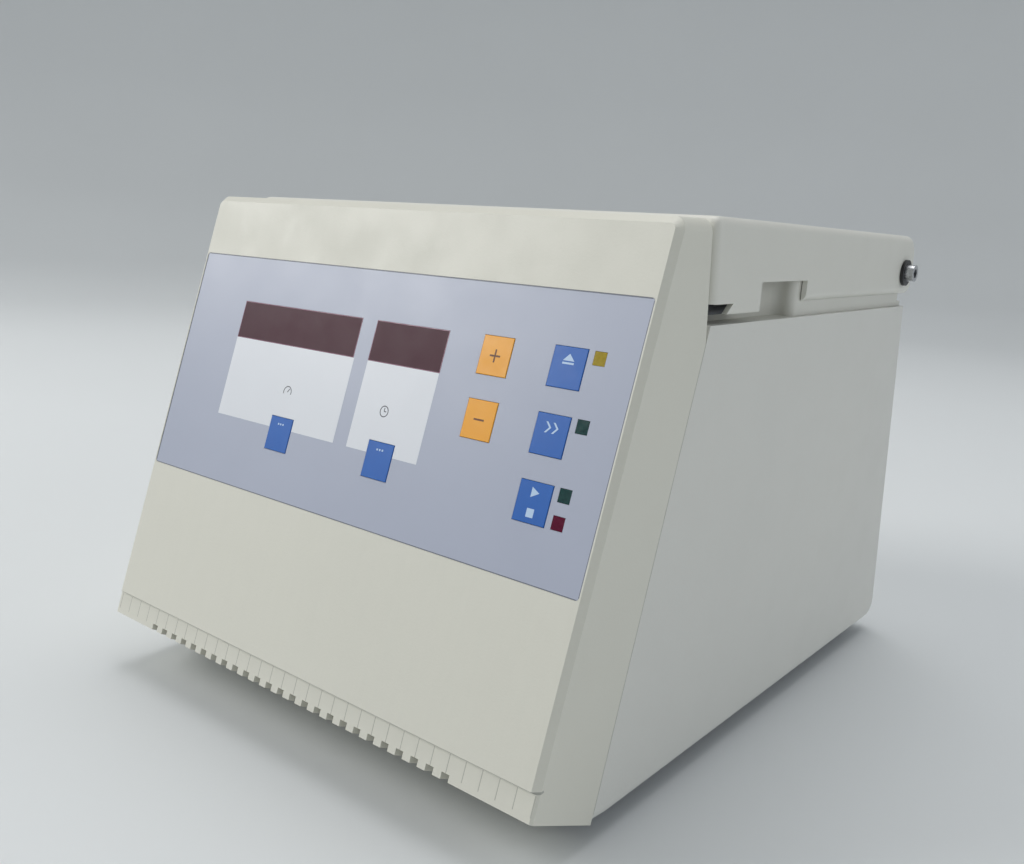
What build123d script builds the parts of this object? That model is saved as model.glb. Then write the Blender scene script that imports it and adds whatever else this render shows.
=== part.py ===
from build123d import *
from math import atan, cos, radians, sin, sqrt, tan
import os

# Bench microcentrifuge, in millimetres. X runs across the front, Y to the rear, Z up.
# The origin lies on the table under the middle of the body.
os.makedirs("parts", exist_ok=True)

# Walls and clearances
side_wall = 2.2
bezel_wall = 3.5
deck_wall = 2.5
seam_gap = 0.3
slip = 0.4
fit = 0.1
running = 0.05
through = 10.0

# Controls across the panel, from its left edge to its right edge
panel_left = 38.5
speed_window_width = 79.5
window_gap = 8.8
time_window_width = 40.5
sign_gap = 17.85
key_width = 14.5
run_gap = 18.7
lamp_gap = 2.75
lamp_size = 5.0
panel_right = 13.4
panel_margin = 3.0
panel_width = (
    panel_left
    + speed_window_width
    + window_gap
    + time_window_width
    + sign_gap
    + key_width
    + run_gap
    + key_width
    + lamp_gap
    + lamp_size
    + panel_right
)
body_width = panel_width + 2 * panel_margin
half_width = body_width / 2

# Heights on the face, measured up the slope from the lip line
chin = 65.9
panel_sill = 20.7
key_height = 15.0
key_pitch = 24.6
panel_head = 20.5
brow = 28.3
window_height = 17.1
window_drop = 0.5
bottom_row = chin + panel_sill + key_height / 2
middle_row = bottom_row + key_pitch
top_row = middle_row + key_pitch
panel_top = top_row + key_height / 2 + panel_head
panel_height = panel_top - chin
panel_middle = chin + panel_height / 2
face_length = panel_top + brow

# Side view: "along" runs to the rear from the lip line, "up" from the body's underside
foot_height = 8.0
face_foot = 29.6
face_lean = radians(18.56)
rear_tilt = radians(7.65)
bezel_rise = 37.8
lid_rise = 38.9
lid_fall = 3.5
block_depth = 38.36
block_lean = 3.0
seam_foot = 35.0
seam_foot_up = 1.0
bezel_height = face_foot + face_length * cos(face_lean)
shoulder = bezel_height - bezel_rise
lid_height = shoulder + lid_rise

# Lock hooks and bolts set the height of the deck inside the lid
hook_clearance = 3.2
hook_depth = 3.2
bolt_clearance = 0.6
bolt_size = 6.0
solenoid_wall = 1.5
hook_bottom = shoulder + hook_clearance
hook_top = hook_bottom + hook_depth
bolt_up = hook_top + bolt_clearance + bolt_size / 2
deck_top = bolt_up + bolt_size / 2 + solenoid_wall + deck_wall

# The chamber sets the depth of the deck, and the deck that of the body
bowl_radius = 86.0
bowl_flange = 9.0
bowl_margin = 3.4
deck_step = 5.0
pivot_step = 3.5
pivot_rise = 0.2
rear_step = 9.8
seam_head = (shoulder - face_foot) * tan(face_lean) + block_depth
deck_front = seam_head + deck_step
chamber_along = deck_front + bowl_margin + bowl_flange + bowl_radius
deck_back = chamber_along + bowl_radius + bowl_flange + bowl_margin
pivot_along = deck_back + pivot_step
pivot_up = deck_top + pivot_rise
rear_head = pivot_along + rear_step
body_length = rear_head + shoulder * tan(rear_tilt)
lip_y = -body_length / 2
base_z = foot_height


def side(along, up):
    """A point of the side view, as Y and Z."""
    return (lip_y + along, base_z + up)


def face_along(up):
    """How far back the sloping face lies at a height."""
    return (up - face_foot) * tan(face_lean)


def seam_along(up):
    """Where the joint line between bezel and housing lies at a height."""
    share = (up - seam_foot_up) / (shoulder - seam_foot_up)
    return seam_foot + share * (seam_head - seam_foot)


def block_along(up):
    """Where the back edge of the bezel's upper block lies at a height."""
    return seam_head - block_lean * (up - shoulder) / bezel_rise


def rear_inner(up):
    """How far back the inner side of the rear wall lies at a height."""
    return body_length - up * tan(rear_tilt) - side_wall / cos(rear_tilt)


def save(piece, name):
    """Label a finished piece and write its file."""
    piece.part.label = name
    export_step(piece.part, f"parts/{name}.step")


# Workplanes of the sloping face and of the leaning rear wall
face = Plane(
    origin=(0, lip_y, base_z + face_foot),
    x_dir=(1, 0, 0),
    z_dir=(0, -cos(face_lean), sin(face_lean)),
)
rear = Plane(
    origin=(0, lip_y + body_length, base_z),
    x_dir=(-1, 0, 0),
    z_dir=(0, cos(rear_tilt), sin(rear_tilt)),
)

# Centres of the windows, keys and lamps
speed_window_x = -panel_width / 2 + panel_left + speed_window_width / 2
time_window_x = speed_window_x + speed_window_width / 2 + window_gap + time_window_width / 2
sign_x = time_window_x + time_window_width / 2 + sign_gap + key_width / 2
run_x = sign_x + key_width + run_gap
lamp_x = run_x + key_width / 2 + lamp_gap + lamp_size / 2
speed_key_shift = 5.75
time_key_shift = -0.55
yellow_rise = 4.8
green_rise = 5.0
window_middle = top_row + key_height / 2 - window_drop - window_height / 2
windows = {
    "speed_window": (speed_window_x, speed_window_width),
    "time_window": (time_window_x, time_window_width),
}
keys = {
    "key_plus": (sign_x, top_row),
    "key_minus": (sign_x, middle_row),
    "key_lid": (run_x, top_row),
    "key_quick_run": (run_x, middle_row),
    "key_start_stop": (run_x, bottom_row),
    "key_set_speed": (speed_window_x + speed_key_shift, bottom_row),
    "key_set_time": (time_window_x + time_key_shift, bottom_row),
}
lamps = {
    "lamp_yellow": [(lamp_x, top_row + yellow_rise)],
    "lamps_green": [(lamp_x, middle_row + green_rise), (lamp_x, bottom_row + green_rise)],
    "lamp_red": [(lamp_x, bottom_row - yellow_rise)],
}

# Depths behind the face
panel_recess = 1.0
panel_thickness = 0.8
panel_corner = 1.5
window_thickness = 1.6
window_ledge = 1.5
key_gap = 0.15
key_proud = 0.25
key_thickness = 2.25
key_travel = 0.5
key_spare = 0.2
key_edge = 0.2
stem_size = 5.0
stem_length = 3.8
stem_gap = 0.3
board_depth = 9.0
board_thickness = 1.6
lamp_spare = 2.0
panel_face = panel_thickness - panel_recess
key_top = panel_face + key_proud
key_back = key_top - key_thickness

# Front bezel: a hollow moulding, open to the rear below the shoulder
bezel_corner = 5.0
bezel_edge = 2.4
block_edge = 2.5
lip_bottom = 19.6
lip_edge = 1.4
lip_recess = 1.4
lip_end = 1.0
back_opening_foot = 6.0
back_opening_head = 11.0
slot_count = 25
slot_pitch = 7.77
slot_width = 3.8
slot_rise = 2.0
slot_run = 14.5
slot_shift = -3.2
post_inset = 14.0
post_radius = 3.5
board_posts = [
    (x, s)
    for x in (-panel_width / 2 + post_inset, panel_width / 2 - panel_right + lamp_size)
    for s in (chin + post_inset, panel_top - post_inset)
]
bezel_outline = [
    side(face_along(lip_bottom), lip_bottom),
    side(face_along(bezel_height), bezel_height),
    side(block_along(bezel_height), bezel_height),
    side(seam_head, shoulder),
    side(seam_foot, seam_foot_up),
]
with BuildPart() as front_bezel:
    with BuildSketch(Plane.YZ):
        with BuildLine():
            Polyline(bezel_outline, close=True)
        make_face()
    extrude(amount=half_width, both=True)
    fillet(front_bezel.edges().filter_by(Axis.Y).group_by(Axis.Z)[-1], radius=bezel_corner)
    front_side = front_bezel.faces().filter_by(lambda f: f.normal_at().dot(face.z_dir) > 0.999)
    chamfer(front_side.edges().sort_by(Axis.Z)[1:], length=bezel_edge)
    block_side = front_bezel.faces().filter_by(lambda f: f.normal_at().Y > 0.99)
    chamfer(block_side.edges().sort_by(Axis.Z)[1:], length=block_edge)
    # the lip stands back from the face under a shadow line, between the ends of the cheeks
    with BuildSketch(face):
        with Locations((0, -face_foot / 2)):
            Rectangle(body_width - 2 * lip_end, face_foot)
    extrude(amount=-lip_recess, mode=Mode.SUBTRACT)
    # inside
    with BuildSketch(Plane.YZ):
        with BuildLine():
            Polyline(bezel_outline, close=True)
        make_face()
        offset(amount=-bezel_wall)
    extrude(amount=half_width - bezel_wall, both=True, mode=Mode.SUBTRACT)
    with BuildSketch(Plane.YZ):
        opening_head = shoulder - back_opening_head
        with BuildLine():
            Polyline(
                side(seam_along(back_opening_foot) - 2 * bezel_wall, back_opening_foot),
                side(seam_along(opening_head) - 2 * bezel_wall, opening_head),
                side(seam_along(opening_head) + bezel_wall, opening_head),
                side(seam_along(back_opening_foot) + bezel_wall, back_opening_foot),
                close=True,
            )
        make_face()
    extrude(amount=half_width - bezel_wall, both=True, mode=Mode.SUBTRACT)
    # air slots through the lip and the sloping underside, which leave a row of teeth
    with BuildSketch(Plane.XY.offset(base_z + lip_bottom + slot_rise)):
        with Locations((slot_shift, lip_y + slot_run / 2)):
            with GridLocations(slot_pitch, 0, slot_count, 1):
                Rectangle(slot_width, slot_run + 2 * bezel_wall)
    extrude(amount=-lip_bottom - slot_rise, mode=Mode.SUBTRACT)
    # recess for the control panel
    with BuildSketch(face):
        with Locations((0, panel_middle)):
            RectangleRounded(panel_width, panel_height, panel_corner)
    extrude(amount=-panel_recess, mode=Mode.SUBTRACT)
    # seats and sight holes of the display windows
    with BuildSketch(face):
        for x, width in windows.values():
            with Locations((x, window_middle)):
                Rectangle(width + 2 * fit, window_height + 2 * fit)
    extrude(amount=panel_face - window_thickness, mode=Mode.SUBTRACT)
    with BuildSketch(face):
        for x, width in windows.values():
            with Locations((x, window_middle)):
                Rectangle(width - 2 * window_ledge, window_height - 2 * window_ledge)
    extrude(amount=-2 * bezel_wall, mode=Mode.SUBTRACT)
    # key pockets with a hole for each stem, and square lamp holes
    with BuildSketch(face):
        with Locations(*keys.values()):
            Rectangle(key_width + 2 * key_gap, key_height + 2 * key_gap)
    extrude(amount=key_back - key_travel - key_spare, mode=Mode.SUBTRACT)
    with BuildSketch(face):
        with Locations(*keys.values()):
            Rectangle(stem_size + 2 * stem_gap, stem_size + 2 * stem_gap)
        for places in lamps.values():
            with Locations(*places):
                Rectangle(lamp_size + 2 * fit, lamp_size + 2 * fit)
    extrude(amount=-2 * bezel_wall, mode=Mode.SUBTRACT)
    # posts that carry the control board
    with BuildSketch(face.offset(-bezel_wall)):
        with Locations(*board_posts):
            Rectangle(2 * post_radius, 2 * post_radius)
    extrude(amount=bezel_wall - board_depth)
save(front_bezel, "front_bezel")

# Control panel film, cut out round the windows, keys and lamps
with BuildPart() as membrane_panel:
    with BuildSketch(face.offset(-panel_recess)):
        with Locations((0, panel_middle)):
            RectangleRounded(panel_width - 2 * fit, panel_height - 2 * fit, panel_corner)
        for x, width in windows.values():
            with Locations((x, window_middle)):
                Rectangle(width + 2 * fit, window_height + 2 * fit, mode=Mode.SUBTRACT)
        with Locations(*keys.values()):
            Rectangle(key_width + 2 * key_gap, key_height + 2 * key_gap, mode=Mode.SUBTRACT)
        for places in lamps.values():
            with Locations(*places):
                Rectangle(lamp_size + 2 * fit, lamp_size + 2 * fit, mode=Mode.SUBTRACT)
    extrude(amount=panel_thickness)
save(membrane_panel, "membrane_panel")

# Tinted windows in front of the two digit displays
for window_name, (x, width) in windows.items():
    with BuildPart() as window:
        with BuildSketch(face.offset(panel_face - window_thickness)):
            with Locations((x, window_middle)):
                Rectangle(width, window_height)
        extrude(amount=window_thickness)
    save(window, window_name)

# Keys: a flat cap with a stem that reaches through the bezel to its switch
for key_name, place in keys.items():
    with BuildPart() as key:
        with BuildSketch(face.offset(key_back)):
            with Locations(place):
                Rectangle(key_width, key_height)
        extrude(amount=key_thickness)
        chamfer(key.faces().sort_by(Axis(face.origin, face.z_dir))[-1].edges(), length=key_edge)
        with BuildSketch(face.offset(key_back)):
            with Locations(place):
                Rectangle(stem_size, stem_size)
        extrude(amount=-stem_length)
    save(key, key_name)

# Lamp lenses, flush with the panel
for lamp_name, places in lamps.items():
    with BuildPart() as lamp:
        with BuildSketch(face.offset(panel_face)):
            with Locations(*places):
                Rectangle(lamp_size, lamp_size)
        extrude(amount=lamp_spare - board_depth)
    save(lamp, lamp_name)

# Control board behind the face with a push switch under each key stem
switch_size = 6.2
switch_gap = key_travel + key_spare / 2
board_margin = 6.0
board_left, board_right = board_posts[0][0], board_posts[-1][0]
board_low, board_high = board_posts[0][1], board_posts[-1][1]
with BuildPart() as control_board:
    with BuildSketch(face.offset(-board_depth)):
        with Locations(((board_left + board_right) / 2, (board_low + board_high) / 2)):
            Rectangle(
                board_right - board_left + 2 * board_margin,
                board_high - board_low + 2 * board_margin,
            )
    extrude(amount=-board_thickness)
    with BuildSketch(face.offset(-board_depth)):
        with Locations(*keys.values()):
            Rectangle(switch_size, switch_size)
    extrude(amount=board_depth + key_back - stem_length - switch_gap)
save(control_board, "control_board")

# Digit displays, standing on the board behind the windows
display_gap = 0.4
display_inset = 3.0
with BuildPart() as digit_displays:
    with BuildSketch(face.offset(-board_depth)):
        for x, width in windows.values():
            with Locations((x, window_middle)):
                Rectangle(width - 2 * display_inset, window_height - 2 * display_inset)
    extrude(amount=board_depth - bezel_wall - display_gap)
save(digit_displays, "digit_displays")

# Housing: both sides and the rear wall in one moulding, with rails that carry the deck
rear_foot_round = 10.0
rear_edge = 4.0
front_rise = 11.0
floor_strip = 14.6
skirt_depth = 13.0
rail_depth = 7.0
rail_height = 3.0
rail_inset = 5.8
pan_back = body_length - floor_strip
housing_outline = [
    side(seam_along(seam_foot_up) + seam_gap, seam_foot_up),
    side(seam_along(shoulder) + seam_gap, shoulder),
    side(rear_head, shoulder),
    side(body_length, 0),
    side(seam_foot + front_rise, 0),
]
inlet_place = (60.0 - half_width, 46.0)
inlet_cutout = (27.0, 20.0)
switch_place = (inlet_place[0] + 44.0, inlet_place[1])
switch_cutout = (19.0, 13.0)
vent_place = (half_width - 72.0, 92.0)
vent_width = 3.2
vent_height = 44.0
vent_pitch = 8.0
vent_count = 11
with BuildPart() as housing:
    with BuildSketch(Plane.YZ):
        with BuildLine():
            Polyline(housing_outline, close=True)
        make_face()
        fillet(vertices().sort_by_distance(housing_outline[3])[0], radius=rear_foot_round)
    extrude(amount=half_width, both=True)
    rear_side = housing.faces().filter_by(lambda f: f.normal_at().dot(rear.z_dir) > 0.999)
    fillet(rear_side.edges().filter_by(Axis(rear.origin, rear.y_dir)), radius=rear_edge)
    with BuildSketch(Plane.YZ):
        with BuildLine():
            Polyline(
                side(0, -side_wall),
                side(0, shoulder + side_wall),
                side(rear_inner(shoulder), shoulder + side_wall),
                side(rear_inner(shoulder), shoulder),
                side(rear_inner(side_wall), side_wall),
                side(pan_back + slip, side_wall),
                side(pan_back + slip, -side_wall),
                close=True,
            )
        make_face()
        fillet(
            vertices().sort_by_distance(side(rear_inner(side_wall), side_wall))[0],
            radius=rear_foot_round - side_wall,
        )
    extrude(amount=half_width - side_wall, both=True, mode=Mode.SUBTRACT)
    # rails under the deck's skirt
    for hand in (-1, 1):
        rail_middle = (deck_front + deck_back) / 2
        with BuildSketch(Plane.XY.offset(base_z + shoulder - skirt_depth)):
            with Locations((hand * (half_width - side_wall - rail_depth / 2), lip_y + rail_middle)):
                Rectangle(rail_depth, deck_back - deck_front - 2 * rail_inset)
        extrude(amount=-rail_height)
    # cut-outs of the mains inlet and the switch, and the air outlet slots
    with BuildSketch(rear):
        with Locations(inlet_place):
            Rectangle(*inlet_cutout)
        with Locations(switch_place):
            Rectangle(*switch_cutout)
        with Locations(vent_place):
            with GridLocations(vent_pitch, 0, vent_count, 1):
                Rectangle(vent_width, vent_height)
    extrude(amount=-3 * side_wall, mode=Mode.SUBTRACT)
save(housing, "housing")

# Base pan: folded sheet steel between the housing's sides, with air inlet slots
pan_gauge = 1.6
pan_up = 0.6
pan_step = 5.0
pan_flange = 14.0
pan_slot = (34.0, 3.5)
pan_slot_pitch = 9.0
pan_slot_count = 6
pan_slot_x = 50.0
pan_slot_step = 76.0
foot_radius = 11.0
foot_inset = 35.0
foot_front = seam_foot + 27.0
foot_back = body_length - 43.6
foot_places = [
    (hand * (half_width - foot_inset), lip_y + along)
    for hand in (-1, 1)
    for along in (foot_front, foot_back)
]
pan_half = half_width - side_wall - slip
pan_inner = pan_half - pan_gauge
pan_front = seam_foot + pan_step
pan_length = pan_back - pan_front
pan_middle = lip_y + pan_front + pan_length / 2
pan_floor = pan_up + pan_gauge
with BuildPart() as base_pan:
    with BuildSketch(Plane.XY.offset(base_z + pan_up)):
        with Locations((0, pan_middle)):
            Rectangle(2 * pan_half, pan_length)
    extrude(amount=pan_flange)
    with BuildSketch(Plane.XY.offset(base_z + pan_floor)):
        with Locations((0, pan_middle)):
            Rectangle(2 * pan_inner, pan_length)
    extrude(amount=pan_flange, mode=Mode.SUBTRACT)
    with BuildSketch(Plane.XY.offset(base_z + pan_up)):
        for x in (-pan_slot_x, pan_slot_x):
            with Locations((x, lip_y + pan_front + pan_slot_step)):
                with GridLocations(0, pan_slot_pitch, 1, pan_slot_count):
                    Rectangle(*pan_slot)
    extrude(amount=pan_gauge, mode=Mode.SUBTRACT)
save(base_pan, "base_pan")

# Rubber feet under the pan
with BuildPart() as rubber_feet:
    with BuildSketch(Plane.XY):
        with Locations(*foot_places):
            Circle(foot_radius)
    extrude(amount=base_z + pan_up)
save(rubber_feet, "rubber_feet")

# Lid pivot: a shouldered screw on each side, through the lid's cheek into the deck's ear
pivot_y, pivot_z = side(pivot_along, pivot_up)
ear_radius = 10.0
ear_thickness = 9.0
ear_foot = 2.5
screw_radius = 3.0
washer_radius = 6.5
washer_thickness = 1.5
washer_gap = 0.15
head_radius = 4.2
head_height = 4.0
socket_radius = 2.4
socket_depth = 2.5

# Deck: a raised tray inside the lid, with the chamber's hole and grip recesses at its sides
deck_corner = 6.0
deck_edge = 1.2
grip_depth = 8.4
grip_round = 4.0
notch_step = 34.4
notch_width = 43.7
notch_lap = 6.3
ledge_rise = 2.5
apron_thickness = 2.5
deck_half = half_width - side_wall - slip
grip_half = deck_half - grip_depth
deck_length = deck_back - deck_front
deck_middle = lip_y + deck_front + deck_length / 2
chamber_y = lip_y + chamber_along
bowl_gauge = 1.2
notch_front = deck_front + notch_step
notch_back = notch_front + notch_width
grip_end = lip_y + notch_back - notch_lap
hook_inset = 1.3
hook_shank = 5.0
bolt_step = 9.5
hook_front = deck_front + hook_inset
bolt_along = hook_front + hook_shank + bolt_step
bolt_gap = 0.3
with BuildSketch() as deck_plan:
    with BuildLine():
        Polyline(
            (-grip_half, lip_y + deck_front),
            (grip_half, lip_y + deck_front),
            (grip_half, grip_end),
            (deck_half, grip_end),
            (deck_half, lip_y + deck_back),
            (-deck_half, lip_y + deck_back),
            (-deck_half, grip_end),
            (-grip_half, grip_end),
            close=True,
        )
    make_face()
    fillet(
        deck_plan.vertices().filter_by_position(Axis.Y, grip_end - fit, grip_end + fit),
        radius=grip_round,
    )
    fillet(deck_plan.vertices().group_by(Axis.Y)[0], radius=deck_corner)
    fillet(deck_plan.vertices().group_by(Axis.Y)[-1], radius=deck_corner)
with BuildPart() as deck:
    # skirt inside the housing
    with BuildSketch(Plane.XY.offset(base_z + shoulder)):
        with Locations((0, deck_middle)):
            RectangleRounded(2 * deck_half, deck_length, deck_corner)
    extrude(amount=-skirt_depth)
    # raised part inside the lid
    with BuildSketch(Plane.XY.offset(base_z + shoulder)):
        add(deck_plan.sketch)
    extrude(amount=deck_top - shoulder)
    chamfer(deck.faces().sort_by(Axis.Z)[-1].edges(), length=deck_edge)
    with BuildSketch(Plane.XY.offset(base_z + shoulder - skirt_depth)):
        with Locations((0, deck_middle)):
            RectangleRounded(
                2 * (deck_half - deck_wall), deck_length - 2 * deck_wall, deck_corner - deck_wall
            )
    extrude(amount=skirt_depth - apron_thickness, mode=Mode.SUBTRACT)
    with BuildSketch(Plane.XY.offset(base_z + shoulder - apron_thickness)):
        add(deck_plan.sketch)
        offset(amount=-deck_wall)
    extrude(amount=deck_top - shoulder + apron_thickness - deck_wall, mode=Mode.SUBTRACT)
    # apron to the bezel in front, and the low ledge behind
    apron_front = seam_head + seam_gap
    apron_back = deck_front + deck_wall
    with BuildSketch(Plane.XY.offset(base_z + shoulder)):
        with Locations((0, lip_y + (apron_front + apron_back) / 2)):
            Rectangle(2 * deck_half, apron_back - apron_front)
    extrude(amount=-apron_thickness)
    ledge_front = deck_back - deck_wall
    ledge_back = rear_inner(shoulder) - seam_gap
    with BuildSketch(Plane.XY.offset(base_z + shoulder + ledge_rise)):
        with Locations((0, lip_y + (ledge_front + ledge_back) / 2)):
            Rectangle(2 * deck_half, ledge_back - ledge_front)
    extrude(amount=-apron_thickness)
    # ears for the lid's pivot screws
    for hand in (-1, 1):
        with BuildSketch(Plane.YZ.offset(hand * deck_half)):
            with Locations((pivot_y, pivot_z)):
                Circle(ear_radius)
            with BuildLine():
                Polyline(
                    (pivot_y - ear_radius, pivot_z),
                    (pivot_y - ear_radius, base_z + shoulder),
                    (pivot_y + ear_foot, base_z + shoulder),
                    (pivot_y + ear_foot, pivot_z),
                    close=True,
                )
            make_face()
        extrude(amount=-hand * ear_thickness)
    with BuildSketch(Plane.YZ):
        with Locations((pivot_y, pivot_z)):
            Circle(screw_radius + running)
    extrude(amount=half_width, both=True, mode=Mode.SUBTRACT)
    # hole for the chamber bowl, and holes for the two lock bolts
    with BuildSketch(Plane.XY.offset(base_z + deck_top)):
        with Locations((0, chamber_y)):
            Circle(bowl_radius + bowl_gauge + fit)
    extrude(amount=-2 * deck_wall, mode=Mode.SUBTRACT)
    for hand in (-1, 1):
        with BuildSketch(Plane.YZ.offset(hand * (grip_half - 2 * deck_wall))):
            with Locations(side(bolt_along, bolt_up)):
                Rectangle(bolt_size + 2 * bolt_gap, bolt_size + 2 * bolt_gap)
        extrude(amount=hand * 3 * deck_wall, mode=Mode.SUBTRACT)
save(deck, "deck")

# Chamber bowl: spun steel, hung from its flange on the deck
bowl_depth = 76.0
boot_hole = 14.0
bowl_floor = deck_top - bowl_depth
chamber_side = Plane(origin=(0, chamber_y, base_z), x_dir=(1, 0, 0), z_dir=(0, -1, 0))
chamber_axis = Axis((0, chamber_y, base_z), (0, 0, 1))
with BuildPart() as chamber_bowl:
    with BuildSketch(chamber_side):
        with BuildLine():
            Polyline(
                (boot_hole, bowl_floor - bowl_gauge),
                (bowl_radius + bowl_gauge, bowl_floor - bowl_gauge),
                (bowl_radius + bowl_gauge, deck_top),
                (bowl_radius + bowl_flange, deck_top),
                (bowl_radius + bowl_flange, deck_top + bowl_gauge),
                (bowl_radius, deck_top + bowl_gauge),
                (bowl_radius, bowl_floor),
                (boot_hole, bowl_floor),
                close=True,
            )
        make_face()
    revolve(axis=chamber_axis)
save(chamber_bowl, "chamber_bowl")

# Rubber boot that closes the bowl's hole round the motor shaft
shaft_radius = 5.0
boot_gap = 1.0
boot_depth = 5.0
boot_lap = 4.0
boot_lip = 2.0
with BuildPart() as shaft_boot:
    with BuildSketch(Plane.XY.offset(base_z + bowl_floor)):
        with Locations((0, chamber_y)):
            Circle(boot_hole + boot_lap)
            Circle(shaft_radius + boot_gap, mode=Mode.SUBTRACT)
    extrude(amount=boot_lip)
    with BuildSketch(Plane.XY.offset(base_z + bowl_floor)):
        with Locations((0, chamber_y)):
            Circle(boot_hole - fit)
            Circle(shaft_radius + boot_gap, mode=Mode.SUBTRACT)
    extrude(amount=-boot_depth)
save(shaft_boot, "shaft_boot")

# Drive motor, hung by its square flange under a steel bracket on rubber mounts
motor_radius = 44.0
motor_length = 76.0
motor_flange_half = 64.0
motor_flange_thickness = 3.0
motor_gap = 10.0
bearing_radius = 11.0
bearing_height = 7.0
boss_radius = 15.0
boss_height = 9.0
mount_size = 14.0
mount_height = 3.0
mount_inset = 11.0
bracket_gauge = 3.0
bracket_clearance = 13.0
boss_top = bowl_floor - motor_gap
mount_up = boss_top - boss_height
motor_top = mount_up - motor_flange_thickness
motor_bottom = motor_top - motor_length
bracket_up = mount_up + mount_height
with BuildPart() as motor_housing:
    with BuildSketch(Plane.XY.offset(base_z + motor_bottom)):
        with Locations((0, chamber_y)):
            Circle(motor_radius)
    extrude(amount=motor_length)
    with BuildSketch(Plane.XY.offset(base_z + motor_top)):
        with Locations((0, chamber_y)):
            Rectangle(2 * motor_flange_half, 2 * motor_flange_half)
    extrude(amount=motor_flange_thickness)
    with BuildSketch(Plane.XY.offset(base_z + mount_up)):
        with Locations((0, chamber_y)):
            Circle(boss_radius)
    extrude(amount=boss_height)
    # shaft bore with a bearing seat at each end
    with BuildSketch(Plane.XY.offset(base_z + motor_bottom)):
        with Locations((0, chamber_y)):
            Circle(shaft_radius + slip)
    extrude(amount=boss_top - motor_bottom, mode=Mode.SUBTRACT)
    for seat_bottom in (motor_bottom, boss_top - bearing_height):
        with BuildSketch(Plane.XY.offset(base_z + seat_bottom)):
            with Locations((0, chamber_y)):
                Circle(bearing_radius)
        extrude(amount=bearing_height, mode=Mode.SUBTRACT)
save(motor_housing, "motor_housing")

with BuildPart() as motor_bearings:
    for seat_bottom in (motor_bottom, boss_top - bearing_height):
        with BuildSketch(Plane.XY.offset(base_z + seat_bottom)):
            with Locations((0, chamber_y)):
                Circle(bearing_radius - running)
                Circle(shaft_radius + running, mode=Mode.SUBTRACT)
        extrude(amount=bearing_height)
save(motor_bearings, "motor_bearings")

with BuildPart() as motor_mounts:
    with BuildSketch(Plane.XY.offset(base_z + mount_up)):
        with Locations((0, chamber_y)):
            mount_pitch = 2 * (motor_flange_half - mount_inset)
            with GridLocations(mount_pitch, mount_pitch, 2, 2):
                Rectangle(mount_size, mount_size)
    extrude(amount=mount_height)
save(motor_mounts, "motor_mounts")

bracket_half = motor_flange_half + bracket_clearance + bracket_gauge
bracket_head = bracket_up + bracket_gauge
with BuildPart() as motor_bracket:
    with BuildSketch(Plane.XZ.offset(-chamber_y)):
        with BuildLine():
            Polyline(
                (-bracket_half, base_z + pan_floor),
                (-bracket_half, base_z + bracket_head),
                (bracket_half, base_z + bracket_head),
                (bracket_half, base_z + pan_floor),
                (bracket_half - bracket_gauge, base_z + pan_floor),
                (bracket_half - bracket_gauge, base_z + bracket_up),
                (bracket_gauge - bracket_half, base_z + bracket_up),
                (bracket_gauge - bracket_half, base_z + pan_floor),
                close=True,
            )
        make_face()
    extrude(amount=motor_flange_half, both=True)
    with BuildSketch(Plane.XY.offset(base_z + bracket_up)):
        with Locations((0, chamber_y)):
            Rectangle(2 * motor_radius, 2 * motor_radius)
    extrude(amount=bracket_gauge, mode=Mode.SUBTRACT)
save(motor_bracket, "motor_bracket")

# Rotor: twelve tube bores at 45 degrees, clamped on the shaft by a knurled nut
rotor_gap = 6.0
rotor_rise = 10.0
bore_angle = radians(45)
bore_radius = 5.6
bore_depth = 38.0
bore_count = 12
bore_wall = 3.2
bore_floor = 9.2
rim_wall = 3.5
rim_width = 2.0
hub_drop = 12.0
collar_radius = 9.0
collar_height = 4.0
nut_radius = 13.0
nut_height = 17.0
nut_cap = 3.0
scallop_radius = 3.5
scallop_count = 8
rotor_radius = bowl_radius - rotor_gap
rotor_bottom = bowl_floor + rotor_rise
mouth_radius = rotor_radius - bore_wall - (bore_depth + bore_radius) * sin(bore_angle)
mouth_up = bore_floor + (bore_depth + bore_radius) * cos(bore_angle)
hub_up = mouth_up - hub_drop
cone_sum = mouth_radius + mouth_up + sqrt(2) * (bore_radius + rim_wall)
rim_up = (cone_sum - mouth_radius + mouth_up - rim_width) / 2
with BuildPart() as rotor:
    with BuildSketch(chamber_side):
        with BuildLine():
            Polyline(
                (shaft_radius + running, rotor_bottom),
                (rotor_radius, rotor_bottom),
                (rotor_radius, rotor_bottom + cone_sum - rotor_radius),
                (cone_sum - rim_up, rotor_bottom + rim_up),
                (mouth_radius + rim_up - mouth_up, rotor_bottom + rim_up),
                (mouth_radius - hub_drop, rotor_bottom + hub_up),
                (shaft_radius + running, rotor_bottom + hub_up),
                close=True,
            )
        make_face()
    revolve(axis=chamber_axis)
    bore_planes = []
    for index in range(bore_count):
        turn = radians(360 / bore_count * (index + 0.5))
        out = Vector(cos(turn), sin(turn), 0)
        mouth = Vector(0, chamber_y, base_z + rotor_bottom + mouth_up) + out * mouth_radius
        way_out = out * -sin(bore_angle) + Vector(0, 0, cos(bore_angle))
        bore_planes.append(Plane(origin=mouth + way_out * bore_radius, z_dir=way_out))
    with BuildSketch(*bore_planes):
        Circle(bore_radius)
    extrude(amount=-bore_depth - bore_radius, mode=Mode.SUBTRACT)
save(rotor, "rotor")

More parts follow.
